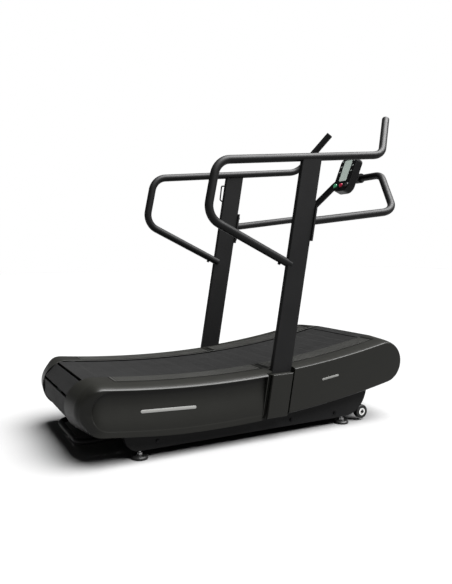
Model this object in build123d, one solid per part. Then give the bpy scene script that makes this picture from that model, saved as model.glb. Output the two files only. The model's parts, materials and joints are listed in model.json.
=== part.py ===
"""Curved manual treadmill, built as separate pieces in millimetres.

+X is forward (towards the console), +Y is the user's left and +Z is up.
The origin is on the floor, at the middle of the plan.
"""
import os
from math import asin, atan2, cos, degrees, pi, radians, sin, sqrt

from build123d import *

os.makedirs("parts", exist_ok=True)

# Running surface: one large arc that is lowest behind the posts
ARC_R = 4750.0
ARC_X = -258.0
ARC_LOW_Z = 306.0
ARC_Z = ARC_LOW_Z + ARC_R

# Belt loop
LOOP_R = 104.0
REAR_AXLE_X = -765.0
FRONT_AXLE_X = 737.0
RETURN_R = 7200.0
BELT_HALF = 215.0
SLATS = 48
SLAT_PHASE = 45.0
TREAD_T = 7.0
TREAD_GAP = 2.4
BAR_T = 4.0
BAR_GAP = 6.0
CORD_T = 5.0
CORD_Y = (175.0, 205.0)
PULLEY_Y = (172.0, 208.0)
SHAFT_R = 16.0
SKIN_GAP = 0.3

# Middle of the plan, between the tail of the rear covers and the console clamp
CENTRE_X = 7.0

# Base frame
RAIL_Y = (314.0, 354.0)
RAIL_BOTTOM = 38.0
RAIL_WALL = 4.0
PLATE_Y = (226.0, 232.0)
CROSS_X = (-560.0, -60.0, 420.0)
CROSS_HALF = 30.0
CROSS_Z = (46.0, 92.0)
CROSS_WALL = 3.0
FOOT_X = (-592.0, 480.0)
FOOT_Y = 334.0
FOOT_R = 35.0
HANDLE_REAR_X = -812.0
HANDLE_HALF = 192.0
HANDLE_Z = 56.0
HANDLE_ROOT_Z = 68.0
HANDLE_BEND = 60.0
HANDLE_R = 13.0
WHEEL_X = 603.0
WHEEL_Z = 45.0
WHEEL_R = 35.0
HUB_R = 19.0
WHEEL_BOLT_R = 6.0
WHEEL_Y = (320.0, 350.0)

# Side covers
COVER_IN = 218.0
COVER_FLAT = 322.0
COVER_OUT = 406.0
COVER_TOP = -6.0
COVER_BOTTOM = 216.0
COVER_WALL = 4.0
NOSE_BACK = 30.0

# Covers over the feet of the posts
BOOT_X = (14.0, 132.0)
BOOT_Y = (382.0, 410.0)
BOOT_Z = (105.0, 304.0)
BOOT_WALL = 4.0
BOOT_GAP = 15.0

# Posts and rails
LEAN = 0.168
LEAN_DEG = degrees(atan2(LEAN, 1.0))
POST_X_AT_1M = 203.0
POST_DEPTH = 105.0
POST_THICK = 26.0
POST_Y = 368.0
POST_WALL = 3.0
POST_Z = (112.0, 1306.0)
TUBE_R = 19.0
TUBE_WALL = 2.5
RAIL_Y_MID = 365.0
RAIL_POINTS = ((833, 237, 1562), (691, 365, 1348), (-243, 365, 1256), (-293, 365, 1013), (140, 365, 804))
RAIL_BENDS = (105.0, 85.0, 85.0)
FRONT_POINTS = ((258, 366, 1007), (751, 394, 1069), (863, 177, 1281))
FRONT_BENDS = (110.0, 97.0)
PLATE_Z = 1006.0
PLATE_WIDTH = 42.0
PLATE_LENGTH = 168.0
PLATE_T = 8.0
PLATE_BOLT = 62.0

# Console
FACE_TILT = 67.8
FACE_X = 755.0
FACE_Z = 1294.0
CONSOLE_W = 134.0
CONSOLE_LOW = -98.0
CONSOLE_HIGH = 105.0
CONSOLE_D = 50.0
CONSOLE_SPLIT = 24.0
CORNER_LOW = 42.0
CORNER_HIGH = 24.0
SHELL_WALL = 3.0
LCD_V = 29.0
LCD_SIZE = (64.0, 130.0)
HINGE_PIN_R = 5.0
LUG_HALF = 11.7
KEY_FLANGE = 1.2
HINGE_V = 8.0
HINGE_W = -72.0
KEY_ROWS = (22.0, 55.0, 87.0)
KEY_X = 48.0
KEY_SIZE = (12.0, 7.0)
ROUND_V = -63.0
ROUND_KEY = 26.0


def save(node, shape):
    """Write one node, moved so that the origin is at the middle of the plan."""
    export_step(Pos(-CENTRE_X, 0, 0) * shape, f"parts/{node}.step")


def both(node, shape):
    save(f"{node}_left", shape)
    save(f"{node}_right", mirror(shape, about=Plane.XZ))


def group(shapes):
    return Compound([solid for shape in shapes for solid in shape.solids()])


def biggest(shape):
    """The main solid, without the offcuts that a coped end leaves."""
    return shape.solids().sort_by(SortBy.VOLUME)[-1]


def with_mirror(shape):
    return group([shape, mirror(shape, about=Plane.XZ)])


def slab(face, y0, y1):
    """Extrude a side-view face, drawn at Y = 0, across the width from y0 to y1."""
    return Pos(0, y0, 0) * extrude(face, amount=y1 - y0, dir=(0, 1, 0))


def block(x, y, z):
    """Box from three (low, high) pairs."""
    size = (x[1] - x[0], y[1] - y[0], z[1] - z[0])
    return Pos((x[0] + x[1]) / 2, (y[0] + y[1]) / 2, (z[0] + z[1]) / 2) * Box(*size)


def rod(x, z, radius, y0, y1):
    """Cylinder lying across the machine."""
    return Pos(x, (y0 + y1) / 2, z) * Rot(90, 0, 0) * Cylinder(radius, y1 - y0)


def polygon(points):
    wire = Wire.make_polygon([Vector(x, 0, z) for x, z in points], close=True)
    return Face(wire)


def deck(angle, depth):
    """Point at a depth below the running surface, at an angle along its arc."""
    r = ARC_R + depth
    return Vector(ARC_X + r * sin(angle), 0, ARC_Z - r * cos(angle))


def deck_angle(x, depth=0.0):
    return asin((x - ARC_X) / (ARC_R + depth))


def deck_z(x, depth=0.0):
    return deck(deck_angle(x, depth), depth).Z


def band(x0, x1, top, bottom, cap_rear=False, cap_front=False, y=0.0):
    """Side-view face that follows the running surface between two depths."""
    mid = (top + bottom) / 2
    r = (bottom - top) / 2
    a0 = deck_angle(x0, mid)
    a1 = deck_angle(x1, mid)
    am = (a0 + a1) / 2
    shift = Vector(0, y, 0)
    a, b = deck(a0, top) + shift, deck(a1, top) + shift
    c, d = deck(a1, bottom) + shift, deck(a0, bottom) + shift
    nose = deck(a1, mid) + shift + Vector(cos(a1), 0, sin(a1)) * r
    tail = deck(a0, mid) + shift - Vector(cos(a0), 0, sin(a0)) * r
    edges = [Edge.make_three_point_arc(a, deck(am, top) + shift, b)]
    edges.append(Edge.make_three_point_arc(b, nose, c) if cap_front else Edge.make_line(b, c))
    edges.append(Edge.make_three_point_arc(c, deck(am, bottom) + shift, d))
    edges.append(Edge.make_three_point_arc(d, tail, a) if cap_rear else Edge.make_line(d, a))
    return Face(Wire(edges))


def lean_x(x_at_300, z):
    return x_at_300 + LEAN * (z - 300.0)


def leaning(x0, x1, z0, z1, y0, y1):
    """Block whose front and rear faces lean with the posts; x0 and x1 are at Z = 300."""
    corners = ((lean_x(x0, z0), z0), (lean_x(x1, z0), z0), (lean_x(x1, z1), z1), (lean_x(x0, z1), z1))
    return slab(polygon(corners), y0, y1)


def bent_wire(points, bends):
    """Centreline through the points with an arc of the given radius at each corner."""
    pts = [Vector(*p) for p in points]
    edges = []
    start = pts[0]
    for corner, after, bend in zip(pts[1:], pts[2:], bends):
        back = (start - corner).normalized()
        ahead = (after - corner).normalized()
        half = radians(back.get_angle(ahead)) / 2
        reach = bend * cos(half) / sin(half)
        middle = (back + ahead).normalized()
        crown = corner + middle * (bend / sin(half) - bend)
        edges.append(Edge.make_line(start, corner + back * reach))
        edges.append(Edge.make_three_point_arc(corner + back * reach, crown, corner + ahead * reach))
        start = corner + ahead * reach
    edges.append(Edge.make_line(start, pts[-1]))
    return Wire(edges)


def tube(path, radius, wall=0.0):
    """Round tube along a centreline; wall 0 gives a solid bar."""
    section = Circle(radius) - Circle(radius - wall) if wall else Circle(radius)
    start = Plane(origin=path @ 0, z_dir=path % 0)
    return sweep(start * section, path=path)


def hex_bolt(across, height):
    """Hexagon head on a washer, standing on the XY plane."""
    washer = Pos(0, 0, 0.75) * Cylinder(across * 0.62, 1.5)
    head = Pos(0, 0, 1.5) * extrude(RegularPolygon(across / 2, 6, major_radius=False), amount=height)
    return washer + head


# ---------------------------------------------------------------- belt loop geometry
REAR_A = deck_angle(REAR_AXLE_X, LOOP_R)
FRONT_A = deck_angle(FRONT_AXLE_X, LOOP_R)
REAR_C = deck(REAR_A, LOOP_R)
FRONT_C = deck(FRONT_A, LOOP_R)


def return_centre():
    """Centre of the sagging lower run, tangent to both axle circles."""
    span = FRONT_C - REAR_C
    rise = sqrt((RETURN_R - LOOP_R) ** 2 - (span.length / 2) ** 2)
    up = Vector(-span.Z, 0, span.X).normalized()
    return (FRONT_C + REAR_C) / 2 + up * rise


RETURN_C = return_centre()
FRONT_LOW = atan2(FRONT_C.Z - RETURN_C.Z, FRONT_C.X - RETURN_C.X)
REAR_LOW = atan2(REAR_C.Z - RETURN_C.Z, REAR_C.X - RETURN_C.X)
# each run: centre, radius of the tread surface, start angle, end angle, side of the outward normal
RUNS = (
    (Vector(ARC_X, 0, ARC_Z), ARC_R, REAR_A - pi / 2, FRONT_A - pi / 2, -1),
    (FRONT_C, LOOP_R, FRONT_A + pi / 2, FRONT_LOW, 1),
    (RETURN_C, RETURN_R, FRONT_LOW, REAR_LOW, 1),
    (REAR_C, LOOP_R, REAR_LOW, REAR_A - 3 * pi / 2, 1),
)
# the slats keep their spacing along the cords, so their faces fan out round the axles
PITCH_DEPTH = TREAD_T + BAR_T
PITCH_LENGTH = sum((r - side * PITCH_DEPTH) * abs(a1 - a0) for _, r, a0, a1, side in RUNS)


def loop_place(s):
    """Location on the tread surface at arc length s along the cords, with local +Z pointing out of the loop."""
    s = s % PITCH_LENGTH
    for centre, r, a0, a1, side in RUNS:
        length = (r - side * PITCH_DEPTH) * abs(a1 - a0)
        if s <= length:
            a = a0 + (a1 - a0) * s / length
            out = Vector(cos(a), 0, sin(a)) * side
            point = centre + Vector(cos(a), 0, sin(a)) * r
            return Pos(point) * Rot(0, degrees(atan2(out.X, out.Z)), 0)
        s -= length
    raise ValueError("arc length outside the loop")


def loop_face(depth):
    """Side-view face inside the loop, a depth below the tread surface."""
    edges = []
    for centre, r, a0, a1, side in RUNS:
        rr = r - side * depth
        points = [centre + Vector(cos(a), 0, sin(a)) * rr for a in (a0, (a0 + a1) / 2, a1)]
        edges.append(Edge.make_three_point_arc(*points))
    return Face(Wire(edges))


# ---------------------------------------------------------------- belt, axles and guides
def build_slats():
    """Rubber-faced slats on aluminium T bars, spaced evenly round the loop."""
    pitch = PITCH_LENGTH / SLATS
    tread = Pos(0, 0, -TREAD_T / 2) * Box(pitch - TREAD_GAP, 2 * BELT_HALF, TREAD_T)
    tread = chamfer(tread.faces().sort_by(Axis.Z)[-1].edges().filter_by(Axis.Y), 0.9)
    flange = Pos(0, 0, -TREAD_T - BAR_T / 2) * Box(pitch - BAR_GAP, 2 * BELT_HALF - 4, BAR_T)
    rib = Pos(0, 0, -TREAD_T - BAR_T - 8) * Box(5, 320, 16)
    bar = flange + rib
    start = PITCH_LENGTH - (LOOP_R - PITCH_DEPTH) * (radians(SLAT_PHASE) - REAR_A)
    places = [loop_place(start + i * pitch) for i in range(SLATS)]
    save("slat_treads", group([p * tread for p in places]))
    save("slat_bars", group([p * bar for p in places]))


def build_cords():
    """The two endless reinforced cords that carry the slats."""
    depth = TREAD_T + BAR_T + SKIN_GAP
    ring = slab(loop_face(depth), *CORD_Y) - slab(loop_face(depth + CORD_T), *CORD_Y)
    save("belt_cords", with_mirror(ring))


def build_axle(name, centre):
    """Shaft with two webbed pulleys inside the belt loop."""
    radius = LOOP_R - TREAD_T - BAR_T - CORD_T - 2 * SKIN_GAP
    y0, y1 = PULLEY_Y
    mid = (y0 + y1) / 2
    rim = rod(centre.X, centre.Z, radius, y0, y1) - rod(centre.X, centre.Z, radius - 10, y0 - 1, y1 + 1)
    web = rod(centre.X, centre.Z, radius - 8, mid - 4, mid + 4)
    hub = rod(centre.X, centre.Z, 32, y0 - 4, y1 + 4)
    holes = [Pos(centre.X, mid, centre.Z) * Rot(0, a, 0) * Pos(54, 0, 0) * Rot(90, 0, 0) * Cylinder(14, 20)
             for a in range(0, 360, 60)]
    pulley = rim + web + hub - rod(centre.X, centre.Z, SHAFT_R, y0 - 9, y1 + 9)
    for hole in holes:
        pulley -= hole
    save(f"{name}_pulleys", with_mirror(pulley))
    save(f"{name}_shaft", rod(centre.X, centre.Z, SHAFT_R, -258, 258))


def build_bearings():
    """Axle bearing housings on the inner plates, and the row of belt guide bearings."""
    housings = []
    for centre in (REAR_C, FRONT_C):
        body = rod(centre.X, centre.Z, 42, PLATE_Y[1], PLATE_Y[1] + 22)
        body += rod(centre.X, centre.Z, 30, PLATE_Y[1], PLATE_Y[1] + 30)
        housings.append(body - rod(centre.X, centre.Z, SHAFT_R + 0.05, PLATE_Y[1] - 1, PLATE_Y[1] + 31))
    save("axle_bearings", with_mirror(group(housings)))
    depth = TREAD_T + BAR_T + CORD_T + 2 * SKIN_GAP + 15
    rollers = []
    for i in range(14):
        p = deck(deck_angle(-650 + i * 98.0, depth), depth)
        rollers.append(rod(p.X, p.Z, 15, 183, 197) + rod(p.X, p.Z, 5, 180, PLATE_Y[0]))
    save("guide_bearings", with_mirror(group(rollers)))


# ---------------------------------------------------------------- base frame
def rail_face():
    """Side outline of a base rail: flat underside and upswept ends."""
    top0 = Vector(-690, 0, deck_z(-690, 150))
    top1 = Vector(640, 0, deck_z(640, 150))
    top_mid = Vector(-25, 0, deck_z(-25, 150))
    edges = [
        Edge.make_line((-600, 0, RAIL_BOTTOM), (500, 0, RAIL_BOTTOM)),
        Edge.make_three_point_arc((500, 0, RAIL_BOTTOM), (574, 0, 70), (622, 0, 153)),
        Edge.make_line((622, 0, 153), top1),
        Edge.make_three_point_arc(top1, top_mid, top0),
        Edge.make_line(top0, (-662, 0, 91)),
        Edge.make_three_point_arc((-662, 0, 91), (-643, 0, 55), (-600, 0, RAIL_BOTTOM)),
    ]
    return Face(Wire(edges))


def build_base():
    face = rail_face()
    inside = Face(offset(Wire(face.outer_wire().edges()), -RAIL_WALL).wire())
    rail = slab(face, *RAIL_Y) - slab(inside, RAIL_Y[0] + RAIL_WALL, RAIL_Y[1] - RAIL_WALL)
    for x in FOOT_X:
        rail += block((x - 14, x + 14), (FOOT_Y - 14, FOOT_Y + 14), (RAIL_BOTTOM, RAIL_BOTTOM + 18))
        rail -= Pos(x, FOOT_Y, RAIL_BOTTOM + 25) * Cylinder(6.05, 80)
    both("side_rail", rail)
    half = RAIL_Y[0]
    members = []
    for x in CROSS_X:
        outer = block((x - CROSS_HALF, x + CROSS_HALF), (-half, half), CROSS_Z)
        bore = CROSS_HALF - CROSS_WALL
        inner_z = (CROSS_Z[0] + CROSS_WALL, CROSS_Z[1] - CROSS_WALL)
        members.append(outer - block((x - bore, x + bore), (-half - 1, half + 1), inner_z))
    save("cross_members", group(members))
    plate = slab(band(REAR_AXLE_X, FRONT_AXLE_X, 22, 190, True, True), *PLATE_Y)
    for x in CROSS_X:
        plate += block((x - 45, x + 45), PLATE_Y, (CROSS_Z[1], deck_z(x, 170)))
    for centre in (REAR_C, FRONT_C):
        plate -= rod(centre.X, centre.Z, 20, PLATE_Y[0] - 1, PLATE_Y[1] + 1)
    both("belt_frame", plate)
    ties = []
    for x in (-560, -230, 100, 430):
        z = deck_z(x, 100)
        ties.append(rod(x, z, 20, -PLATE_Y[0], PLATE_Y[0]) - rod(x, z, 17, -PLATE_Y[0] - 1, PLATE_Y[0] + 1))
    save("frame_ties", group(ties))


def build_lift_handle():
    """Carrying loop at the rear, fixed to the rear cross member."""
    root = CROSS_X[0] - CROSS_HALF - 1.0
    corners = ((root, HANDLE_HALF, HANDLE_ROOT_Z), (HANDLE_REAR_X, HANDLE_HALF, HANDLE_Z),
               (HANDLE_REAR_X, -HANDLE_HALF, HANDLE_Z), (root, -HANDLE_HALF, HANDLE_ROOT_Z))
    save("lift_handle", tube(bent_wire(corners, (HANDLE_BEND, HANDLE_BEND)), HANDLE_R, TUBE_WALL))


def build_feet():
    """Rubber pads on threaded stems, with a locking nut."""
    for end, x in (("rear", FOOT_X[0]), ("front", FOOT_X[1])):
        pad = Pos(x, FOOT_Y, 7) * Cylinder(FOOT_R, 14)
        pad = chamfer(pad.edges().group_by(Axis.Z)[-1], 4)
        both(f"foot_{end}_pad", pad - Pos(x, FOOT_Y, 15) * Cylinder(14, 12))
        stem = Pos(x, FOOT_Y, 34) * Cylinder(6, 50) + Pos(x, FOOT_Y, 12) * Cylinder(14, 6)
        nut = Pos(x, FOOT_Y, 18) * extrude(RegularPolygon(11, 6, major_radius=False), amount=9)
        both(f"foot_{end}_stem", stem + nut)


def build_wheels():
    """Transport wheels on brackets ahead of the front feet."""
    y0, y1 = WHEEL_Y
    tyre = fillet(rod(WHEEL_X, WHEEL_Z, WHEEL_R, y0, y1).edges(), 5)
    tyre -= rod(WHEEL_X, WHEEL_Z, HUB_R, y0 - 1, y1 + 1)
    hub = rod(WHEEL_X, WHEEL_Z, HUB_R, y0 + 2, y1 - 1) - rod(WHEEL_X, WHEEL_Z, 12, y1 - 4, y1)
    hub -= rod(WHEEL_X, WHEEL_Z, WHEEL_BOLT_R + 0.05, y0 - 1, y1 + 1)
    both("wheel_tyre", tyre)
    both("wheel_hub", hub)
    outline = ((546, 78), (594, 150), (618, 150), (626, 63), (619, 33), (590, 33))
    ear = slab(polygon(outline), RAIL_Y[0] - 5, RAIL_Y[0])
    axle = rod(WHEEL_X, WHEEL_Z, WHEEL_BOLT_R, RAIL_Y[0] - 5, y1 + 1)
    head = rod(WHEEL_X, WHEEL_Z, WHEEL_BOLT_R + 1.5, y1 + 1, y1 + 4)
    spacer = rod(WHEEL_X, WHEEL_Z, WHEEL_BOLT_R + 3, RAIL_Y[0], y0 - 0.5)
    save("wheel_brackets", with_mirror(ear + axle + head + spacer))


# ---------------------------------------------------------------- side covers
def cover_sections(drop, lift, nose, inset):
    """Section list (y, top depth, bottom depth, nose shift) for one cover, inset by a wall thickness."""
    rows = [(COVER_IN - (8 if inset else 0), COVER_TOP + inset, COVER_BOTTOM - inset, 0.0)]
    for t in (0, 20, 38, 54, 68, 80, 90):
        a = radians(t)
        y = COVER_FLAT + (COVER_OUT - COVER_FLAT) * sin(a)
        top = COVER_TOP + drop * (1 - cos(a))
        low = COVER_BOTTOM - lift * (1 - cos(a)) ** 1.5
        pull = nose * (y - COVER_IN) / (COVER_OUT - COVER_IN)
        rows.append((y - inset, top + inset, low - inset, pull))
    return rows


def cover_solid(x0, x1, drop, lift, rear, inset=0.0):
    """Rounded side cover body, before its openings are cut."""
    faces = []
    for y, top, low, pull in cover_sections(drop, lift, 0.0 if rear else NOSE_BACK, inset):
        faces.append(band(x0, x1 - pull, top, low, rear, not rear, y))
    flat = loft(faces[:2], ruled=True)
    return flat + loft(faces[1:], ruled=True)


def underside(x0, x1):
    """Slot in the underside of a cover for the base rail."""
    return slab(band(x0, x1, 190, 240), 200, 362)


def build_rear_cover():
    end = 90.0
    shell = cover_solid(REAR_AXLE_X, end, 22, 8, True)
    shell -= cover_solid(REAR_AXLE_X, end + 5, 22, 8, True, COVER_WALL)
    shell += slab(band(-722, end, 16, 191, True), 389, 403.5)
    shell -= slab(band(-722, end + 9, 20, 187, True), 393, 412)
    shell -= underside(-700, end + 9)
    shell -= leaning(29, 320, 0, 420, 150, 420)
    shell -= leaning(BOOT_X[0] - BOOT_GAP, 60, 0, BOOT_Z[1] + 1, 378, 420)
    both("cover_rear", shell)


def build_front_cover():
    start = -60.0
    shell = cover_solid(start, FRONT_AXLE_X, 10, 18, False)
    shell -= cover_solid(start - 5, FRONT_AXLE_X, 10, 18, False, COVER_WALL)
    shell -= underside(start - 9, 640)
    shell -= leaning(-300, 30, 0, 420, 150, 420)
    shell -= leaning(-60, 142, 0, 420, 350, 384)
    shell -= leaning(-60, BOOT_X[1] + 0.5, 0, 420, 383, 420)
    both("cover_front", shell)


def build_boot():
    """Outer cover over the foot of a post."""
    outer = leaning(*BOOT_X, *BOOT_Z, BOOT_Y[0], BOOT_Y[1])
    edges = outer.faces().sort_by(Axis.Y)[-1].edges()
    rear = edges.sort_by(Axis.X)[0]
    outer = chamfer(rear, 25, 9)
    outer = fillet(outer.faces().sort_by(Axis.Y)[-1].edges(), 3)
    pocket_x = (BOOT_X[0] + BOOT_WALL, BOOT_X[1] - BOOT_WALL)
    pocket = leaning(*pocket_x, BOOT_Z[0] - 5, BOOT_Z[1] - BOOT_WALL, BOOT_Y[0] - 2, BOOT_Y[1] - 8)
    both("post_boot", outer - pocket)


def build_grips():
    """Thin anti-slip mats on the flat tops of the side covers."""
    def mat(x0, x1):
        return slab(band(x0, x1, COVER_TOP - 1.6, COVER_TOP), 223, 320)
    both("foot_grip", group([mat(-690, 22), mat(36, 700)]))


# ---------------------------------------------------------------- posts and rails
def post_plane(z):
    x = POST_X_AT_1M + LEAN * (z - 1000.0)
    return Plane(origin=(x, POST_Y, z), x_dir=(1, 0, -LEAN), z_dir=(LEAN, 0, 1))


def post_body():
    """Post envelope from the base rail to the handrail."""
    length = (POST_Z[1] - POST_Z[0]) / cos(radians(LEAN_DEG))
    return extrude(post_plane(POST_Z[0]) * RectangleRounded(POST_DEPTH, POST_THICK, 5), amount=length)


def mirror_points(points):
    return tuple((x, -y, z) for x, y, z in reversed(points))


def build_posts():
    rail_path = bent_wire(RAIL_POINTS, RAIL_BENDS)
    solid_rail = tube(rail_path, TUBE_R)
    hollow = extrude(post_plane(100) * RectangleRounded(POST_DEPTH - 2 * POST_WALL, POST_THICK - 2 * POST_WALL, 2), amount=1300)
    both("post", biggest(post_body() - hollow - solid_rail))
    handrail = tube(rail_path, TUBE_R, TUBE_WALL) - post_envelope_low()
    both("handrail", handrail)
    tip = Plane(origin=rail_path @ 0, z_dir=-(rail_path % 0))
    cap = Pos(0, 0, 2.5) * Cylinder(TUBE_R, 5)
    cap = fillet(cap.edges().group_by(Axis.Z)[-1], 3)
    cap += Pos(0, 0, -6) * Cylinder(TUBE_R - TUBE_WALL - 0.2, 12)
    save("horn_caps", with_mirror(tip * cap))


def post_envelope_low():
    """Post envelope below the handrail's level run, used to cope the lower brace."""
    return post_body() - block((-400, 900), (300, 420), (1200, 1500))


def plate_solid():
    place = post_plane(PLATE_Z)
    return place * Pos((POST_DEPTH + PLATE_T) / 2, 0, 0) * Box(PLATE_T, PLATE_WIDTH, PLATE_LENGTH)


def build_front_tube():
    points = FRONT_POINTS + mirror_points(FRONT_POINTS)
    path = bent_wire(points, FRONT_BENDS + tuple(reversed(FRONT_BENDS)))
    plate = plate_solid()
    keep_out = plate + post_body()
    frame = tube(path, TUBE_R, TUBE_WALL) - keep_out - mirror(keep_out, about=Plane.XZ)
    save("front_frame_tube", biggest(frame))
    save("mount_plates", with_mirror(plate))


def build_bolts():
    heads = []
    place = post_plane(PLATE_Z)
    for v in (-PLATE_BOLT, PLATE_BOLT):
        heads.append(place * Pos(POST_DEPTH / 2 + PLATE_T, 0, v) * Rot(0, 90, 0) * hex_bolt(17, 8))
    brace = Plane(origin=(79.5, RAIL_Y_MID, 811.4), z_dir=(-0.435, 0, -0.9))
    heads.append(brace * hex_bolt(13, 6))
    for z in (150, 190):
        x = POST_X_AT_1M + LEAN * (z - 1000.0)
        heads.append(Pos(x, POST_Y + POST_THICK / 2, z) * Rot(-90, 0, 0) * hex_bolt(17, 8))
    for x, z in ((-519, 68), (159, 64), (420, 64)):
        heads.append(Pos(x, RAIL_Y[1], z) * Rot(-90, 0, 0) * hex_bolt(13, 4))
    save("frame_bolts", with_mirror(group(heads)))


def build_hook():
    """Accessory hook on the rear face of the left post."""
    path = bent_wire(((195, POST_Y, 1239), (168, POST_Y, 1237), (158, POST_Y, 1160), (186, POST_Y, 1138)), (7, 7))
    save("accessory_hook", tube(path, 4) - post_body())


# ---------------------------------------------------------------- console
NORMAL = (-sin(radians(FACE_TILT)), 0, cos(radians(FACE_TILT)))
FACE = Plane(origin=(FACE_X, 0, FACE_Z), x_dir=(0, -1, 0), z_dir=NORMAL)


def face_box(x, v, w, width, height, depth, radius=0.0):
    """Rounded box on the console face, from depth w down by depth."""
    section = RectangleRounded(width, height, radius) if radius else Rectangle(width, height)
    return FACE * Pos(x, v, w - depth) * extrude(section, amount=depth)


def face_rod(x, v, w, radius, depth):
    return FACE * Pos(x, v, w - depth / 2) * Cylinder(radius, depth)


def shell_body(inset, w, depth):
    """Console outline with a rounder lower end, drawn in by inset, from depth w down by depth."""
    outline = Rectangle(CONSOLE_W - 2 * inset, CONSOLE_HIGH - CONSOLE_LOW - 2 * inset)
    rows = outline.vertices().group_by(Axis.Y)
    outline = fillet(rows[0], CORNER_LOW - inset)
    outline = fillet(outline.vertices().group_by(Axis.Y)[-1], CORNER_HIGH - inset)
    return FACE * Pos(0, (CONSOLE_HIGH + CONSOLE_LOW) / 2, w - depth) * extrude(outline, amount=depth)


def keys():
    """Name, position and size of each console key; a zero height means a round key."""
    rows = []
    for i, v in enumerate(KEY_ROWS):
        rows.append((f"key_left_{i + 1}", -KEY_X, v, *KEY_SIZE))
        rows.append((f"key_right_{i + 1}", KEY_X, v, *KEY_SIZE))
    rows.append(("key_start", -KEY_X, ROUND_V, ROUND_KEY, 0.0))
    rows.append(("key_stop", 0.0, ROUND_V, ROUND_KEY, 0.0))
    rows.append(("key_mode", KEY_X, ROUND_V, ROUND_KEY, 0.0))
    return rows


def key_shape(x, v, width, height, grow, top, depth):
    if height:
        return face_box(x, v, top, width + 2 * grow, height + 2 * grow, depth, 2.5)
    return face_rod(x, v, top, width / 2 + grow, depth)


def along_face(shape):
    """Faces of a console shape, from the deepest to the one nearest the user."""
    return shape.faces().sort_by(lambda f: f.center().dot(Vector(NORMAL)))


def key_body(x, v, width, height):
    """Key with a retaining flange; a round key stands up and has a softened rim."""
    rise = 1.4 if height else 5.0
    cap = key_shape(x, v, width, height, 0, rise, rise + 4.2)
    if not height:
        cap = fillet(along_face(cap)[-1].edges(), 3.5)
    return cap + key_shape(x, v, width, height, KEY_FLANGE, -4.2, 1.4)


def build_console():
    front = shell_body(0, 0, CONSOLE_SPLIT)
    front = fillet(along_face(front)[-1].edges(), 4)
    front -= shell_body(SHELL_WALL, -SHELL_WALL, CONSOLE_SPLIT)
    front -= face_box(0, LCD_V, 1, LCD_SIZE[0] + 0.4, LCD_SIZE[1] + 0.4, 10, 4)
    for name, x, v, width, height in keys():
        front -= key_shape(x, v, width, height, SKIN_GAP, 1, 10)
        save(name, key_body(x, v, width, height))
    save("console_front", front)
    depth = CONSOLE_D - CONSOLE_SPLIT
    back = shell_body(0, -CONSOLE_SPLIT, depth)
    back = fillet(along_face(back)[0].edges(), 10)
    back -= shell_body(SHELL_WALL, -CONSOLE_SPLIT + 1, depth - SHELL_WALL + 1)
    lug = face_box(0, HINGE_V, -CONSOLE_D + 1, 2 * LUG_HALF, 20, -HINGE_W - CONSOLE_D + 1)
    lug += hinge_rod(HINGE_PIN_R + 5.2, -LUG_HALF, LUG_HALF)
    save("console_back", back + lug - hinge_rod(HINGE_PIN_R + 0.05, -30, 30))
    save("lcd_window", face_box(0, LCD_V, -0.6, *LCD_SIZE, 2.2, 4))
    board = shell_body(9, -12, 1.6)
    board += face_box(0, LCD_V, -4, LCD_SIZE[0] - 4, LCD_SIZE[1] - 10, 8)
    save("circuit_board", board + face_box(0, -62, -13.6, 54, 30, 8))


def hinge_rod(radius, y0, y1):
    h = FACE * Pos(0, HINGE_V, HINGE_W)
    return rod(h.position.X, h.position.Z, radius, y0, y1)


def build_clamp():
    """Split clamp on the front tube with a two-eared hinge for the console."""
    x, z = FRONT_POINTS[-1][0], FRONT_POINTS[-1][2]
    h = (FACE * Pos(0, HINGE_V, HINGE_W)).position
    ring = rod(x, z, TUBE_R + 8, -20, 20)
    clamp = ring + hinge_rod(HINGE_PIN_R, -23, 23)
    for y0, y1 in ((-19, -12), (12, 19)):
        clamp += block((h.X, x), (y0, y1), (h.Z - 11, h.Z + 11))
        clamp += rod(h.X, h.Z, 11, y0, y1)
    clamp += rod(h.X, h.Z, 9, 19, 24) + rod(h.X, h.Z, 9, -24, -19)
    save("console_clamp", clamp - rod(x, z, TUBE_R, -21, 21))


build_slats()
build_cords()
build_axle("rear", REAR_C)
build_axle("front", FRONT_C)
build_bearings()
build_base()
build_lift_handle()
build_feet()
build_wheels()
build_rear_cover()
build_front_cover()
build_boot()
build_grips()
build_posts()
build_front_tube()
build_bolts()
build_hook()
build_console()
build_clamp()
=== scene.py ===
"""Looks of the curved manual treadmill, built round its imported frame. Everything is in metres."""
import json
from math import asin, atan2, cos, hypot, pi, radians, sin, sqrt

import bmesh
import bpy
from mathutils import Matrix, Vector


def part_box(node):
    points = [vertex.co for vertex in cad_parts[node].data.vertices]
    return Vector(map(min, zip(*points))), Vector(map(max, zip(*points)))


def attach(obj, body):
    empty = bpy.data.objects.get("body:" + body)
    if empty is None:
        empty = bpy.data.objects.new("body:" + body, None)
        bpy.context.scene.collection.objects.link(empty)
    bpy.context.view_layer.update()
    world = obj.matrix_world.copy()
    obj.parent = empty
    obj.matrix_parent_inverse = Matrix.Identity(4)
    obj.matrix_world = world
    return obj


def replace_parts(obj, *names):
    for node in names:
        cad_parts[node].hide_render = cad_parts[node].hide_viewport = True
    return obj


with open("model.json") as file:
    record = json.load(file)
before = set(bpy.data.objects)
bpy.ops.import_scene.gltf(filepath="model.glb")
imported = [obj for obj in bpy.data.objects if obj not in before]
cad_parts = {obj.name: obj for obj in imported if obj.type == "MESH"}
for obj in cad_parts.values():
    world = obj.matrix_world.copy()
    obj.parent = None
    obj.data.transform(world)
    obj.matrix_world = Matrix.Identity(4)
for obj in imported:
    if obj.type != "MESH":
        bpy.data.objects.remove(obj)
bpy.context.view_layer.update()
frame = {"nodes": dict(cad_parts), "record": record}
SLOTS = {part["node"]: part["material_slot"] for part in frame["record"]["subparts"]}
SIDES = (("left", 1), ("right", -1))

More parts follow.
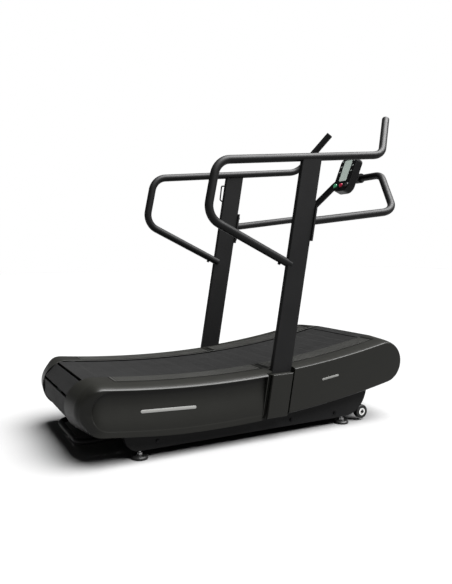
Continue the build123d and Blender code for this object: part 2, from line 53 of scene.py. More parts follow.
# Running surface: a large arc over both axles
ARC_R = 4.750
LOOP_R = 0.104
RETURN_R = 7.200
SLATS = 48
SLAT_PHASE = 45.0
BELT_HALF = 0.215

# Tread face of a slat: thickness, gap to the next, worn end edges, and ribs across its top
TREAD_T = 0.007
BAR_T = 0.004
TREAD_GAP = 0.0004
TREAD_END = 0.0008
FOOT_INSET = 0.0016
TREAD_EDGE = ((0.0, -0.0010), (0.0002, -0.0003), (0.0007, 0.0))
RIBS = 14
RIB_MARGIN = 0.003
RIB_DEPTH = 0.0006
RIB_SHAPE = ((0.10, 0.0), (0.24, RIB_DEPTH), (0.42, RIB_DEPTH), (0.56, 0.0))

# Side covers, measured across (y) and down from the running surface (depth)
COVER_IN = 0.218
COVER_FLAT = 0.322
COVER_OUT = 0.406
COVER_TOP = -0.006
COVER_BOTTOM = 0.216
COVER_WALL = 0.0024
COVER_LIP = 0.0015
NOSE_BACK = 0.030
RUN_STEPS = 56
CAP_STEPS = 28

# Opening under a cover: how deep and how far out it reaches, and where it starts and ends
OPEN_DEPTH = 0.185
OPEN_OUT = 0.364
REAR_OPENING = (-0.690, 0.2)
FRONT_OPENING = (-0.2, 0.628)

# Tail of a rear cover: drawn in, lifted and pulled forward
TAIL_X = -0.883
TAIL_RUN = 0.120
TAIL_KEEP = 0.34
TAIL_LIFT = 0.012
TAIL_PULL = 0.019
PULL_WIDTH = 0.132
PULL_FROM = 0.015
PULL_STOP = 0.005
LIFT_DEPTHS = (0.11, 0.21)
LIFT_RUN = 0.5

# Side recess of a rear cover: dip at its edge and in its dish, depths over which the dip fades towards the
# bottom, and distances in from the edge at which the floor is shaped
RECESS_STEP = 0.015
RECESS_DISH = 0.003
STEP_WIDTH = 0.0050
DISH_WIDTH = 0.055
DIP_FADE = 0.94
FADE_DEPTHS = (0.05, 0.172)
RECESS_STEPS = (
    0.0, 0.0008, 0.0018, 0.0030, 0.0042, 0.0050, 0.008,
    0.012, 0.017, 0.023, 0.030, 0.038, 0.048, 0.062,
)
RECESS_FORWARD = 0.034
RECESS_EDGE = 0.003
RECESS_SILL = 0.022

# Flat side of a front cover: distances in from its edge
FACE_STEPS = (0.0025, 0.010, 0.035, 0.060)

# Where the covers meet round a post: lean of the post, its rear face at z = 0.3, and the y of post and boot
LEAN = 0.168
LEAN_Z = 0.300
POST_REAR = 0.025
POST_IN = 0.351
BOOT_IN = 0.383
BOOT_STEP = 0.001
END_INNER = POST_REAR - 0.003
END_SIDE = POST_REAR - 0.033
START_INNER = POST_REAR - 0.0015
START_POST = POST_REAR + 0.110

# Anti-slip studs on the covers: length across, width along, height; their spacing, rows and limits
MAT_T = 0.0016
STUD_SIZE = (0.0100, 0.0066, 0.0016)
STUD_PITCH = (0.0140, 0.0120)
STUD_TAPER = 0.7
STUD_CORNER = 0.45
STUD_ROWS = 8
STUD_Y = 0.2295
STUD_REACH = 0.692
STUD_CLEAR = 0.016

# Blank badges: cover, middle x, depth below the running surface, length, height, face y and its slope
BADGES = (
    ("rear", -0.490, 0.104, 0.250, 0.0130, 0.3940, 0.192),
    ("front", 0.345, 0.085, 0.100, 0.0100, 0.4055, 0.0),
)
BADGE_EDGE = ((0.0, -0.0030), (0.0, 0.0006), (0.0003, 0.0010), (0.0010, 0.0012))
BADGE_STEPS = 8

# Width of the softened edges on parts that keep their shape, by material slot
SOFT_EDGE = {
    "frame_paint": 0.0012,
    "cover_plastic": 0.0015,
    "console_plastic": 0.0006,
    "bolt_steel": 0.0005,
    "foot_rubber": 0.0010,
    "foot_zinc": 0.0004,
    "key_pale": 0.0005,
    "key_red": 0.0006,
    "key_green": 0.0006,
    "key_dark": 0.0006,
    "hub_plastic": 0.0008,
    "tyre_rubber": 0.0006,
}

# Angles in degrees between faces: from where an edge is sharp, and from where it is softened
SHARP_FROM = 28
COVER_SHARP_FROM = 40.0
SOFTEN_FROM = 38

# Floor, light and camera; angles in degrees
FLOOR_SIZE = 40
DOME_LIGHT = 0.08
OVERHEAD_LIGHT = 27.0
OVERHEAD_SPREAD = 58.0
OVERHEAD_FROM = (0.34, -0.34, 1.0)
WHITE = (1.0, 1.0, 1.0, 1.0)
CAMERA_AT = (-1.4118, -2.6013, 0.8634)
CAMERA_TILT = 86.034
CAMERA_TURN = -28.337
LENS = 35.836
SENSOR = 36.0


def middle(node):
    low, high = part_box(node)
    return (low + high) / 2


REAR_C = middle("rear_shaft")
FRONT_C = middle("front_shaft")


def arc_centre(a, b, radius):
    """Centre, above both points, of the circle of that radius through them."""
    span = b - a
    rise = sqrt(radius ** 2 - (span.length / 2) ** 2)
    up = Vector((-span.z, 0, span.x)).normalized()
    return (a + b) / 2 + up * rise


ARC_C = arc_centre(REAR_C, FRONT_C, ARC_R + LOOP_R)
RETURN_C = arc_centre(REAR_C, FRONT_C, RETURN_R - LOOP_R)


def deck_angle(x, depth=0.0):
    return asin((x - ARC_C.x) / (ARC_R + depth))


def deck(angle, depth, y=0.0):
    """Point at a depth below the running surface."""
    r = ARC_R + depth
    return Vector((ARC_C.x + r * sin(angle), y, ARC_C.z - r * cos(angle)))


def deck_z(x, depth=0.0):
    return deck(deck_angle(x, depth), depth).z


REAR_A = deck_angle(REAR_C.x, LOOP_R)
FRONT_A = deck_angle(FRONT_C.x, LOOP_R)


# ---------------------------------------------------------------- shader groups
# Pointiness at which an edge starts to look rubbed and is fully rubbed, and contrast of the rubbed spots
RUBBED_FROM = 0.60
RUBBED_FULL = 0.72
SPOT_GAIN = 1.5

# Dust: how quickly it fades as a face turns from level, size of its clouds, their contrast and threshold
DUST_FALLOFF = 3.0
DUST_SCALE = 14.0
DUST_GAIN = 1.6
DUST_CUT = 0.35

# Part of the cloud's range that gloss follows, and depth of the finest relief
GLOSS_CLOUD = (0.3, 0.7)
RELIEF_DEPTH = 0.0006


def group_tree(name, inputs, outputs):
    """Empty shader node group with named sockets; returns the tree, its input node and its output node."""
    tree = bpy.data.node_groups.new(name, "ShaderNodeTree")
    for label, kind, value in inputs:
        socket = tree.interface.new_socket(name=label, in_out="INPUT", socket_type=kind)
        socket.default_value = value
    for label, kind in outputs:
        tree.interface.new_socket(name=label, in_out="OUTPUT", socket_type=kind)
    return tree, tree.nodes.new("NodeGroupInput"), tree.nodes.new("NodeGroupOutput")


def add(tree, kind, **settings):
    node = tree.nodes.new(kind)
    for key, value in settings.items():
        setattr(node, key, value)
    return node


def math_node(tree, operation, a, b=None, clamp=False):
    node = add(tree, "ShaderNodeMath", operation=operation, use_clamp=clamp)
    for index, value in enumerate((a, b)):
        if value is None:
            continue
        if isinstance(value, (int, float)):
            node.inputs[index].default_value = value
        else:
            tree.links.new(value, node.inputs[index])
    return node.outputs[0]


def object_coords(tree):
    return tree.nodes.new("ShaderNodeTexCoord").outputs["Object"]


def noise(tree, scale, detail=4.0, rough=0.55, source=None):
    node = add(tree, "ShaderNodeTexNoise")
    node.inputs["Detail"].default_value = detail
    node.inputs["Roughness"].default_value = rough
    if isinstance(scale, (int, float)):
        node.inputs["Scale"].default_value = scale
    else:
        tree.links.new(scale, node.inputs["Scale"])
    tree.links.new(source or object_coords(tree), node.inputs["Vector"])
    return node.outputs["Fac"]


def make_grain():
    """Fine moulded or sprayed texture: a height for bump, and a slow cloud for colour and gloss."""
    tree, inp, out = group_tree(
        "surface_grain",
        [("Fine Scale", "NodeSocketFloat", 900.0), ("Cloud Scale", "NodeSocketFloat", 6.0)],
        [("Height", "NodeSocketFloat"), ("Cloud", "NodeSocketFloat")],
    )
    fine = noise(tree, inp.outputs["Fine Scale"], 2.0, 0.5)
    cloud = noise(tree, inp.outputs["Cloud Scale"], 5.0, 0.6)
    tree.links.new(fine, out.inputs["Height"])
    tree.links.new(cloud, out.inputs["Cloud"])
    return tree


def make_wear():
    """Mask of lightly rubbed edges, broken up by noise."""
    tree, inp, out = group_tree(
        "edge_wear",
        [("Amount", "NodeSocketFloat", 0.5), ("Spot Scale", "NodeSocketFloat", 60.0)],
        [("Mask", "NodeSocketFloat")],
    )
    geometry = tree.nodes.new("ShaderNodeNewGeometry")
    ramp = add(tree, "ShaderNodeMapRange")
    ramp.inputs["From Min"].default_value = RUBBED_FROM
    ramp.inputs["From Max"].default_value = RUBBED_FULL
    tree.links.new(geometry.outputs["Pointiness"], ramp.inputs["Value"])
    spots = math_node(tree, "MULTIPLY", noise(tree, inp.outputs["Spot Scale"]), SPOT_GAIN, True)
    worn = math_node(tree, "MULTIPLY", ramp.outputs["Result"], spots)
    tree.links.new(math_node(tree, "MULTIPLY", worn, inp.outputs["Amount"], True), out.inputs["Mask"])
    return tree


def make_dust():
    """Mask of fine dust on faces that look up."""
    tree, inp, out = group_tree(
        "settled_dust",
        [("Amount", "NodeSocketFloat", 0.3)],
        [("Mask", "NodeSocketFloat")],
    )
    geometry = tree.nodes.new("ShaderNodeNewGeometry")
    split = tree.nodes.new("ShaderNodeSeparateXYZ")
    tree.links.new(geometry.outputs["Normal"], split.inputs[0])
    up = math_node(tree, "POWER", math_node(tree, "MAXIMUM", split.outputs["Z"], 0.0), DUST_FALLOFF)
    speck = math_node(tree, "MULTIPLY_ADD", noise(tree, DUST_SCALE, 8.0, 0.7), DUST_GAIN)
    speck.node.inputs[2].default_value = -DUST_CUT
    mask = math_node(tree, "MULTIPLY", up, math_node(tree, "MAXIMUM", speck, 0.0))
    tree.links.new(math_node(tree, "MULTIPLY", mask, inp.outputs["Amount"], True), out.inputs["Mask"])
    return tree


GRAIN = make_grain()
WEAR = make_wear()
DUST = make_dust()


# ---------------------------------------------------------------- materials
def use_group(tree, group, **values):
    node = add(tree, "ShaderNodeGroup", node_tree=group)
    for label, value in values.items():
        node.inputs[label.replace("_", " ")].default_value = value
    return node


def mix_colour(tree, factor, a, b):
    """Blend two colours, given as sockets or as (r, g, b)."""
    node = add(tree, "ShaderNodeMix", data_type="RGBA")
    tree.links.new(factor, node.inputs["Factor"])
    for socket, value in ((node.inputs[6], a), (node.inputs[7], b)):
        if isinstance(value, tuple):
            socket.default_value = (*value, 1.0)
        else:
            tree.links.new(value, socket)
    return node.outputs[2]


def finish_material(
    name, base, shade, rough, spread,
    metal=0.0, fine=900.0, cloud=6.0, bump=0.08, coat=0.0, specular=0.28,
    wear=0.0, worn=(0.2, 0.2, 0.2), dust=0.0, dusty=(0.16, 0.155, 0.15),
):
    """Principled finish with grain, cloudy tone, rubbed edges and dust."""
    material = bpy.data.materials.new(name)
    material.use_nodes = True
    tree = material.node_tree
    shader = tree.nodes["Principled BSDF"]
    grain = use_group(tree, GRAIN, Fine_Scale=fine, Cloud_Scale=cloud)
    colour = mix_colour(tree, grain.outputs["Cloud"], base, shade)
    if wear:
        mask = use_group(tree, WEAR, Amount=wear).outputs["Mask"]
        colour = mix_colour(tree, mask, colour, worn)
    if dust:
        mask = use_group(tree, DUST, Amount=dust).outputs["Mask"]
        colour = mix_colour(tree, mask, colour, dusty)
    tree.links.new(colour, shader.inputs["Base Color"])
    gloss = add(tree, "ShaderNodeMapRange")
    gloss.inputs["From Min"].default_value = GLOSS_CLOUD[0]
    gloss.inputs["From Max"].default_value = GLOSS_CLOUD[1]
    gloss.inputs["To Min"].default_value = rough - spread
    gloss.inputs["To Max"].default_value = rough + spread
    tree.links.new(grain.outputs["Cloud"], gloss.inputs["Value"])
    tree.links.new(gloss.outputs["Result"], shader.inputs["Roughness"])
    relief = add(tree, "ShaderNodeBump")
    relief.inputs["Strength"].default_value = bump
    relief.inputs["Distance"].default_value = RELIEF_DEPTH
    tree.links.new(grain.outputs["Height"], relief.inputs["Height"])
    tree.links.new(relief.outputs["Normal"], shader.inputs["Normal"])
    shader.inputs["Metallic"].default_value = metal
    shader.inputs["Coat Weight"].default_value = coat
    shader.inputs["Specular IOR Level"].default_value = specular
    return material


MATERIALS = {
    "frame_paint": finish_material(
        "black_powder_coat", (0.0019, 0.0019, 0.0020), (0.0026, 0.0026, 0.0027), 0.50, 0.03,
        fine=1100.0, bump=0.015, dust=0.01, specular=0.11, wear=0.15, worn=(0.0165, 0.0165, 0.0165),
    ),
    "cover_plastic": finish_material(
        "charcoal_moulding", (0.0033, 0.0033, 0.0028), (0.0042, 0.0042, 0.0035), 0.42, 0.03,
        fine=1700.0, cloud=3.0, bump=0.10, dust=0.04, dusty=(0.033, 0.0319, 0.0286), specular=0.14,
        wear=0.3, worn=(0.022, 0.022, 0.0204),
    ),
    "tread_rubber": finish_material(
        "tread_rubber", (0.0039, 0.0039, 0.0039), (0.005, 0.005, 0.005), 0.58, 0.04,
        fine=800.0, cloud=7.0, bump=0.12, dust=0.02, dusty=(0.033, 0.033, 0.0319), specular=0.12,
    ),
    "grip_rubber": finish_material(
        "grip_mat", (0.0017, 0.0017, 0.0015), (0.0023, 0.0023, 0.0021), 0.6, 0.05,
        fine=900.0, bump=0.10, specular=0.03,
    ),
    # Studs several times lighter than the cover moulding they are part of: a painted highlight for the light
    # their tops catch.
    "stud_tops_painted_highlight": finish_material(
        "grip_studs_painted_highlight", (0.018, 0.018, 0.0165), (0.023, 0.023, 0.021), 0.42, 0.05,
        fine=900.0, bump=0.08, specular=0.35,
    ),
    "cord_rubber": finish_material(
        "cord_rubber", (0.0044, 0.0044, 0.0044), (0.0077, 0.0077, 0.0077), 0.7, 0.05,
        bump=0.3, specular=0.17,
    ),
    "slat_aluminium": finish_material(
        "extruded_aluminium", (0.0022, 0.0022, 0.0022), (0.0033, 0.0033, 0.0033), 0.55, 0.08,
        metal=1.0, cloud=20.0,
    ),
    "axle_steel": finish_material(
        "ground_steel", (0.231, 0.231, 0.2365), (0.275, 0.275, 0.2805), 0.3, 0.06,
        metal=1.0,
    ),
    "pulley_aluminium": finish_material(
        "turned_aluminium", (0.275, 0.275, 0.2805), (0.319, 0.319, 0.3245), 0.35, 0.06,
        metal=1.0,
    ),
    "cap_plastic": finish_material(
        "end_cap", (0.005, 0.005, 0.005), (0.0072, 0.0072, 0.0072), 0.5, 0.05,
        bump=0.1, specular=0.19,
    ),
    "bolt_steel": finish_material(
        "black_bolt", (0.0055, 0.0055, 0.0058), (0.0088, 0.0088, 0.0091), 0.35, 0.06,
        metal=1.0, wear=0.3, worn=(0.044, 0.044, 0.044),
    ),
    "console_plastic": finish_material(
        "console_shell", (0.0018, 0.0018, 0.0019), (0.0028, 0.0028, 0.0030), 0.34, 0.04,
        fine=1600.0, bump=0.03, wear=0.2, worn=(0.015, 0.015, 0.015), specular=0.13,
    ),
    "lcd_glass": finish_material(
        "liquid_crystal", (0.24, 0.28, 0.26), (0.28, 0.32, 0.29), 0.30, 0.03,
        fine=400.0, bump=0.01, coat=0.8,
    ),
    "board_laminate": finish_material(
        "board", (0.0055, 0.0495, 0.022), (0.0083, 0.066, 0.0275), 0.4, 0.05,
    ),
    "key_pale": finish_material(
        "pale_key", (0.121, 0.132, 0.1265), (0.1485, 0.1595, 0.154), 0.38, 0.04,
        bump=0.05,
    ),
    "badge_print": finish_material(
        "grey_badge", (0.075, 0.075, 0.072), (0.09, 0.09, 0.086), 0.45, 0.04,
        bump=0.04,
    ),
    "key_red": finish_material(
        "red_key", (0.165, 0.0055, 0.0193), (0.198, 0.0077, 0.0248), 0.25, 0.04,
        bump=0.03, coat=0.3,
    ),
    "key_green": finish_material(
        "green_key", (0.0275, 0.143, 0.0715), (0.0385, 0.1705, 0.088), 0.25, 0.04,
        bump=0.03, coat=0.3,
    ),
    "key_dark": finish_material(
        "dark_key", (0.011, 0.011, 0.0116), (0.0165, 0.0165, 0.0171), 0.3, 0.04,
        bump=0.03,
    ),
    "foot_rubber": finish_material(
        "foot_rubber", (0.0044, 0.0044, 0.0044), (0.0072, 0.0072, 0.0072), 0.45, 0.06,
        bump=0.2, specular=0.22,
    ),
    "foot_zinc": finish_material(
        "zinc_plate", (0.275, 0.275, 0.275), (0.33, 0.33, 0.33), 0.32, 0.07,
        metal=1.0, cloud=30.0,
    ),
    "tyre_rubber": finish_material(
        "wheel_tyre", (0.0033, 0.0033, 0.0033), (0.0055, 0.0055, 0.0055), 0.38, 0.06,
        bump=0.12, specular=0.25,
    ),
    "hub_plastic": finish_material(
        "wheel_hub", (0.363, 0.363, 0.3575), (0.407, 0.407, 0.4015), 0.35, 0.05,
        bump=0.06,
    ),
}


# ---------------------------------------------------------------- mesh helpers
def piece(name, mesh_builder, body, slot, smooth_deg=32.0):
    """New object from a bmesh, with its material, body and slot."""
    mesh = bpy.data.meshes.new(name)
    mesh_builder.normal_update()
    mesh_builder.to_mesh(mesh)
    mesh_builder.free()
    for face in mesh.polygons:
        face.use_smooth = True
    mesh.set_sharp_from_angle(angle=radians(smooth_deg))
    obj = bpy.data.objects.new(name, mesh)
    bpy.context.scene.collection.objects.link(obj)
    mesh.materials.append(MATERIALS[slot])
    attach(obj, body)
    return obj


def bridge(bm, rows, flip=False):
    """Quads between successive closed rows of vertices."""
    for a, b in zip(rows, rows[1:]):
        count = len(a)
        for i in range(count):
            j = (i + 1) % count
            quad = (a[i], a[j], b[j], b[i])
            bm.faces.new(quad[::-1] if flip else quad)


def rows_to_verts(bm, rows):
    return [[bm.verts.new(p) for p in row] for row in rows]


# ---------------------------------------------------------------- belt treads
def belt_runs():
    """Centre, radius, start angle, end angle and outward side of each stretch of the loop."""
    front_low = atan2(FRONT_C.z - RETURN_C.z, FRONT_C.x - RETURN_C.x)
    rear_low = atan2(REAR_C.z - RETURN_C.z, REAR_C.x - RETURN_C.x)
    return (
        (ARC_C, ARC_R, REAR_A - pi / 2, FRONT_A - pi / 2, -1),
        (FRONT_C, LOOP_R, FRONT_A + pi / 2, front_low, 1),
        (RETURN_C, RETURN_R, front_low, rear_low, 1),
        (REAR_C, LOOP_R, rear_low, REAR_A - 3 * pi / 2, 1),
    )


RUNS = belt_runs()
PITCH_DEPTH = TREAD_T + BAR_T
PITCH_LENGTH = sum((r - side * PITCH_DEPTH) * abs(a1 - a0) for _, r, a0, a1, side in RUNS)


def loop_matrix(s):
    """Place on the tread surface at arc length s along the cords, with local +Z pointing out of the loop."""
    s = s % PITCH_LENGTH
    for centre, r, a0, a1, side in RUNS:
        length = (r - side * PITCH_DEPTH) * abs(a1 - a0)
        if s <= length:
            a = a0 + (a1 - a0) * s / length
            ray = Vector((cos(a), 0, sin(a)))
            out = ray * side
            return Matrix.Translation(centre + ray * r) @ Matrix.Rotation(atan2(out.x, out.z), 4, "Y")
        s -= length
    raise ValueError("arc length outside the loop")


def tread_profile(width):
    """Cross-section of a tread: rounded edges, fine ribs on top and a narrower foot."""
    half = width / 2
    foot = half - FOOT_INSET
    pitch = (width - 2 * RIB_MARGIN) / RIBS
    points = [(-foot, -TREAD_T)] + [(inset - half, z) for inset, z in TREAD_EDGE]
    for i in range(RIBS):
        x = RIB_MARGIN - half + i * pitch
        points += [(x + pitch * share, -dip) for share, dip in RIB_SHAPE]
    points += [(half - inset, z) for inset, z in reversed(TREAD_EDGE)]
    return points + [(foot, -TREAD_T)]


def build_treads():
    """The rubber faces of the slats, nearly closed on the running surface and fanned out on the axles."""
    pitch = PITCH_LENGTH / SLATS
    profile = tread_profile(pitch - TREAD_GAP)
    start = PITCH_LENGTH - (LOOP_R - PITCH_DEPTH) * (radians(SLAT_PHASE) - REAR_A)
    inner = BELT_HALF - TREAD_END
    ends = ((-BELT_HALF, TREAD_END), (-inner, 0.0), (inner, 0.0), (BELT_HALF, TREAD_END))
    bm = bmesh.new()
    for i in range(SLATS):
        place = loop_matrix(start + i * pitch)
        rows = []
        for y, inset in ends:
            shrink = 1 - 2 * inset / pitch
            row = []
            for u, v in profile:
                drop = inset if v > -TREAD_T / 2 else 0.0
                row.append(place @ Vector((u * shrink, y, v - drop)))
            rows.append(row)
        rows = rows_to_verts(bm, rows)
        bridge(bm, rows, flip=True)
        bm.faces.new(rows[0])
        bm.faces.new(rows[-1][::-1])
    bmesh.ops.recalc_face_normals(bm, faces=bm.faces)
    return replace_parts(piece("belt_treads", bm, "frame", "tread_rubber"), "slat_treads")


# ---------------------------------------------------------------- side covers
def lean_x(x_at_300, z):
    return x_at_300 + LEAN * (z - LEAN_Z)


def ring(y, top, bottom, rear, front):
    """One closed outline of a cover. Each end is ("round", x of its centre) or ("cut", x at Z = 0.3)."""
    mid = (top + bottom) / 2
    r = (bottom - top) / 2

    def end_angles(end):
        kind, x = end
        if kind == "round":
            return (deck_angle(x, mid),) * 2
        angles = []
        for depth in (top, bottom):
            angles.append(deck_angle(lean_x(x, deck_z(x, depth)), depth))
        return tuple(angles)

    (rear_top, rear_low), (front_top, front_low) = end_angles(rear), end_angles(front)
    points = []
    for i in range(RUN_STEPS + 1):
        points.append(deck(rear_top + (front_top - rear_top) * i / RUN_STEPS, top, y))
    points += end_points(front, mid, r, front_low, front_top, 1, y, top, bottom)
    for i in range(RUN_STEPS + 1):
        points.append(deck(front_low + (rear_low - front_low) * i / RUN_STEPS, bottom, y))
    points += end_points(rear, mid, r, rear_low, rear_top, -1, y, top, bottom)
    return points


def end_points(end, mid, r, low_a, top_a, way, y, top, bottom):
    """Points between the two runs at one end: a half circle, or a straight leaning edge."""
    points = []
    a, b = deck(top_a, top, y), deck(low_a, bottom, y)
    if way < 0:
        a, b = b, a
    for i in range(1, CAP_STEPS):
        t = i / CAP_STEPS
        if end[0] == "cut":
            points.append(a.lerp(b, t))
            continue
        centre = deck(top_a, mid, y)
        along = Vector((cos(top_a), 0, sin(top_a))) * way
        up = Vector((-sin(top_a), 0, cos(top_a)))
        turn = pi / 2 - pi * t if way > 0 else -pi / 2 + pi * t
        points.append(centre + along * (r * cos(turn)) + up * (r * sin(turn)))
    return points


def shoulder(drop, lift, steps, sweep=90):
    """(y, top, bottom) down the rounded outer shoulder of a cover."""
    rows = []
    for i in range(steps + 1):
        a = radians(sweep) * i / steps
        y = COVER_FLAT + (COVER_OUT - COVER_FLAT) * sin(a)
        rows.append((y, COVER_TOP + drop * (1 - cos(a)), COVER_BOTTOM - lift * (1 - cos(a)) ** 1.5))
    return rows


def close_face(bm, loop):
    """Fill the last outline: quads down to a line along its middle, and a fan round each end."""
    n = RUN_STEPS + 1
    m = CAP_STEPS - 1
    upper = loop[:n]
    lower = loop[n + m:2 * n + m][::-1]
    spine = [bm.verts.new((a.co + b.co) / 2) for a, b in zip(upper, lower)]
    for i in range(n - 1):
        bm.faces.new((upper[i], upper[i + 1], spine[i + 1], spine[i]))
        bm.faces.new((spine[i], spine[i + 1], lower[i + 1], lower[i]))
    nose = [upper[-1]] + loop[n:n + m] + [lower[-1]]
    tail = [lower[0]] + loop[2 * n + m:] + [upper[0]]
    for a, b in zip(nose, nose[1:]):
        bm.faces.new((a, b, spine[-1]))
    for a, b in zip(tail, tail[1:]):
        bm.faces.new((a, b, spine[0]))


def draw_in(x, y):
    """Distance across, with the shoulder drawn in towards the belt at the tail."""
    if y <= COVER_FLAT:
        return y
    reach = min(max((x - TAIL_X) / TAIL_RUN, 0.0), 1.0)
    keep = TAIL_KEEP + (1 - TAIL_KEEP) * sin(reach * pi / 2)
    return COVER_FLAT + (y - COVER_FLAT) * keep


def depth_of(point):
    return hypot(point.x - ARC_C.x, point.z - ARC_C.z) - ARC_R


def ease(value, low, high):
    """Smooth step from 0 at low to 1 at high."""
    t = min(max((value - low) / (high - low), 0.0), 1.0)
    return t * t * (3 - 2 * t)


def recess_dip(point, inward):
    """How far the recess floor lies behind the rim: a step and a dish, both fading towards the bottom."""
    step = RECESS_STEP * ease(inward, 0.0, STEP_WIDTH)
    dish = RECESS_DISH * (1 - (1 - min(inward / DISH_WIDTH, 1.0)) ** 2)
    return (step + dish) * (1 - DIP_FADE * ease(depth_of(point), *FADE_DEPTHS))


def shape_tail(point):
    """Round the tail forward away from the belt, and raise its outer underside a little."""
    outward = min(max((point.y - COVER_IN) / (COVER_OUT - COVER_IN), 0.0), 1.0)
    lift = TAIL_LIFT * ease(depth_of(point), *LIFT_DEPTHS) * outward
    lift *= 1 - ease(point.x, TAIL_X, TAIL_X + LIFT_RUN)
    away = min(max((point.y - COVER_IN) / PULL_WIDTH, 0.0), 1.0)
    pull = TAIL_PULL * away ** 1.5 * (1 - ease(point.x, TAIL_X + PULL_FROM, REAR_C.x - PULL_STOP))
    return Vector((point.x + pull, point.y, point.z + lift))


def cover(name, rings, side, node, opening):
    """Moulded shell through the rings, open on the inside and underneath."""
    bm = bmesh.new()
    rows = rows_to_verts(bm, rings)
    bridge(bm, rows, flip=True)
    close_face(bm, rows[-1])
    mouth = bm.faces.new(rows[0])
    bmesh.ops.recalc_face_normals(bm, faces=bm.faces)
    bmesh.ops.delete(bm, geom=[mouth], context="FACES_ONLY")
    low, high = opening
    open_faces = []
    for face in bm.faces:
        c = face.calc_center_median()
        if depth_of(c) > OPEN_DEPTH and low < c.x < high and c.y < OPEN_OUT:
            open_faces.append(face)
    bmesh.ops.delete(bm, geom=open_faces, context="FACES")
    bmesh.ops.remove_doubles(bm, verts=bm.verts, dist=1e-6)
    if side < 0:
        bmesh.ops.transform(bm, matrix=Matrix.Scale(-1, 4, (0, 1, 0)), verts=bm.verts)
        bmesh.ops.reverse_faces(bm, faces=bm.faces)
    obj = piece(name, bm, "frame", "cover_plastic", COVER_SHARP_FROM)
    shell = obj.modifiers.new("wall", "SOLIDIFY")
    shell.thickness = COVER_WALL
    shell.offset = -1.0
    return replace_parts(obj, node)


def lip_rings(rear, front):
    """The first two rings of a cover, with a small lip beside the belt."""
    edge = ring(COVER_IN, COVER_TOP + COVER_LIP, COVER_BOTTOM - COVER_LIP, rear, front)
    return [edge, ring(COVER_IN + COVER_LIP, COVER_TOP, COVER_BOTTOM, rear, front)]


def rear_cover_rings():
    """Rings of a rear cover, from its inner edge to the floor of the side recess."""
    tail = ("round", REAR_C.x)
    rings = lip_rings(tail, ("cut", END_INNER))
    for y, top, bottom in shoulder(drop=0.022, lift=0.008, steps=14, sweep=80):
        if y >= BOOT_IN and rings[-1][0].y < BOOT_IN:
            last = (rings[-1][0].y + y) / 2
            for end in (END_INNER, END_SIDE):
                rings.append(ring(last, top - BOOT_STEP, bottom, tail, ("cut", end)))
        end = END_INNER if y < BOOT_IN else END_SIDE
        rings.append(ring(y, top, bottom, tail, ("cut", end)))
    rings = [[Vector((p.x, draw_in(p.x, p.y), p.z)) for p in loop] for loop in rings]
    centre = ("round", REAR_C.x + RECESS_FORWARD)
    for inward in RECESS_STEPS:
        loop = ring(y, top + RECESS_EDGE + inward, bottom - RECESS_SILL - inward, centre, ("cut", END_SIDE))
        for point in loop:
            point.y = draw_in(point.x, y) - recess_dip(point, inward)
        rings.append(loop)
    return [[shape_tail(p) for p in loop] for loop in rings]


def front_cover_rings():
    """Rings of a front cover, notched round the post and its boot."""
    def nose(y):
        return ("round", FRONT_C.x - NOSE_BACK * (y - COVER_IN) / (COVER_OUT - COVER_IN))

    start = START_INNER
    rings = lip_rings(("cut", start), nose(COVER_IN))
    for y, top, bottom in shoulder(drop=0.010, lift=0.018, steps=12):
        if y >= POST_IN and start == START_INNER:
            rings.append(ring(POST_IN, top, bottom, ("cut", START_INNER), nose(y)))
            rings.append(ring(POST_IN, top, bottom, ("cut", START_POST), nose(y)))
            start = START_POST
        rings.append(ring(y, top, bottom, ("cut", start), nose(y)))
    last = nose(COVER_OUT)
    for inset in FACE_STEPS:
        rings.append(ring(COVER_OUT, top + inset, bottom - inset, ("cut", start), last))
    return rings


def build_covers():
    for name, side in SIDES:
        cover(f"rear_cover_{name}", rear_cover_rings(), side, f"cover_rear_{name}", REAR_OPENING)
        cover(f"front_cover_{name}", front_cover_rings(), side, f"cover_front_{name}", FRONT_OPENING)


# ---------------------------------------------------------------- anti-slip studs
def stud(bm, centre, along, across, up):
    """One low stud with a six-sided outline and sloping sides."""
    length, width, height = STUD_SIZE
    k = STUD_CORNER
    outline = ((-1, -k), (-1, k), (0, 1), (1, k), (1, -k), (0, -1))
    base = [centre + along * (u * width / 2) + across * (v * length / 2) for u, v in outline]
    cap = [centre + (p - centre) * STUD_TAPER + up * height for p in base]
    lower = [bm.verts.new(p) for p in base]
    upper = [bm.verts.new(p) for p in cap]
    bridge(bm, [lower, upper])
    bm.faces.new(upper)
    bm.faces.new(lower[::-1])


def build_studs():
    """Close rows of small studs, long across the machine, moulded on the flat tops of the covers and
    coloured lighter than the moulding as a painted highlight.
    """
    pitch_x, pitch_y = STUD_PITCH
    for name, side in SIDES:
        bm = bmesh.new()
        for i in range(int(2 * STUD_REACH / pitch_x)):
            x = i * pitch_x - STUD_REACH
            if abs(x - START_INNER) < STUD_CLEAR:
                continue
            a = deck_angle(x)
            along = Vector((cos(a), 0, sin(a)))
            up = Vector((-sin(a), 0, cos(a)))
            for j in range(STUD_ROWS):
                y = STUD_Y + j * pitch_y
                stud(bm, deck(a, COVER_TOP - MAT_T, side * y), along, Vector((0, 1, 0)), up)
        bmesh.ops.recalc_face_normals(bm, faces=bm.faces)
        studs = piece(f"grip_studs_painted_highlight_{name}", bm, "frame", "grip_rubber")
        # The studs take the lighter material, a painted highlight on them.
        studs.data.materials[0] = MATERIALS["stud_tops_painted_highlight"]


# ---------------------------------------------------------------- blank badges
def bar_outline(x_mid, depth, length, height, inset):
    """Points of a bar with round ends that follows the curve of the deck."""
    a_mid = deck_angle(x_mid, depth)
    r = height / 2 - inset
    reach = (length - height) / 2
    points = []
    for end in (1, -1):
        for i in range(BADGE_STEPS + 1):
            t = pi / 2 - pi * i / BADGE_STEPS
            along = end * (reach + r * cos(t))
            points.append(deck(a_mid + along / (ARC_R + depth), depth - end * r * sin(t)))
    return points


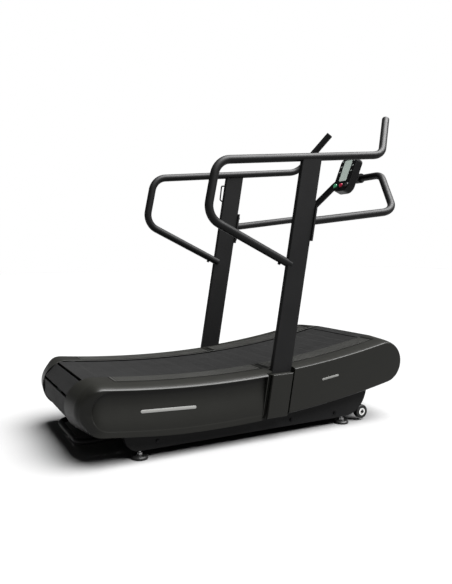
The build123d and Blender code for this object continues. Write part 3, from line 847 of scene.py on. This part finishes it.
def build_badges():
    """A plain pale bar, raised a little, on each side cover."""
    for cover_name, x_mid, depth, length, height, y, slope in BADGES:
        for name, side in SIDES:
            bm = bmesh.new()
            rings = []
            for inset, rise in BADGE_EDGE:
                loop = []
                for p in bar_outline(x_mid, depth, length, height, inset):
                    face_y = y + slope * (depth_of(p) - depth)
                    loop.append(Vector((p.x, side * (face_y + rise), p.z)))
                rings.append(loop)
            rows = rows_to_verts(bm, rings)
            bridge(bm, rows)
            bm.faces.new(rows[0])
            bm.faces.new(rows[-1])
            bmesh.ops.recalc_face_normals(bm, faces=bm.faces)
            badge = piece(f"{cover_name}_badge_{name}", bm, "frame", "key_pale")
            badge.data.materials[0] = MATERIALS["badge_print"]


# ---------------------------------------------------------------- carried-over parts
def dress_nodes():
    """Materials, smooth shading and softened edges for the parts that keep their shape."""
    for name, obj in frame["nodes"].items():
        slot = SLOTS[name]
        if obj.material_slots:
            obj.material_slots[0].material = MATERIALS[slot]
        else:
            obj.data.materials.append(MATERIALS[slot])
        for face in obj.data.polygons:
            face.use_smooth = True
        obj.data.set_sharp_from_angle(angle=radians(SHARP_FROM))
        if slot in SOFT_EDGE:
            bevel = obj.modifiers.new("softened", "BEVEL")
            bevel.width = SOFT_EDGE[slot]
            bevel.segments = 2
            bevel.limit_method = "ANGLE"
            bevel.angle_limit = radians(SOFTEN_FROM)
            bevel.harden_normals = True


# ---------------------------------------------------------------- setting
def build_floor():
    bpy.ops.mesh.primitive_plane_add(size=FLOOR_SIZE, location=(0, 0, 0))
    floor = bpy.context.object
    floor.name = "studio_floor"
    material = finish_material(
        "pale_floor", (0.138, 0.138, 0.138), (0.144, 0.144, 0.144), 0.8, 0.02,
        fine=40.0, bump=0.01, specular=0.0,
    )
    floor.data.materials.append(material)


def build_light():
    """Dim surroundings that look white, and one wide soft light overhead."""
    world = bpy.data.worlds.new("studio")
    bpy.context.scene.world = world
    world.use_nodes = True
    tree = world.node_tree
    seen = tree.nodes["Background"]
    seen.inputs["Color"].default_value = WHITE
    seen.inputs["Strength"].default_value = 1.0
    lit = tree.nodes.new("ShaderNodeBackground")
    lit.inputs["Color"].default_value = WHITE
    lit.inputs["Strength"].default_value = DOME_LIGHT
    path = tree.nodes.new("ShaderNodeLightPath")
    either = tree.nodes.new("ShaderNodeMixShader")
    tree.links.new(path.outputs["Is Camera Ray"], either.inputs[0])
    tree.links.new(lit.outputs[0], either.inputs[1])
    tree.links.new(seen.outputs[0], either.inputs[2])
    tree.links.new(either.outputs[0], tree.nodes["World Output"].inputs["Surface"])
    data = bpy.data.lights.new("overhead", "SUN")
    data.energy = OVERHEAD_LIGHT
    data.angle = radians(OVERHEAD_SPREAD)
    lamp = bpy.data.objects.new("overhead", data)
    bpy.context.scene.collection.objects.link(lamp)
    lamp.rotation_euler = Vector(OVERHEAD_FROM).to_track_quat("Z", "Y").to_euler()


def build_camera():
    data = bpy.data.cameras.new("camera")
    data.lens = LENS
    data.sensor_width = SENSOR
    camera = bpy.data.objects.new("camera", data)
    bpy.context.scene.collection.objects.link(camera)
    camera.location = CAMERA_AT
    camera.rotation_euler = (radians(CAMERA_TILT), 0, radians(CAMERA_TURN))
    bpy.context.scene.camera = camera


build_treads()
build_covers()
build_studs()
build_badges()
dress_nodes()
build_floor()
build_light()
build_camera()
bpy.context.scene.view_settings.view_transform = "Standard"
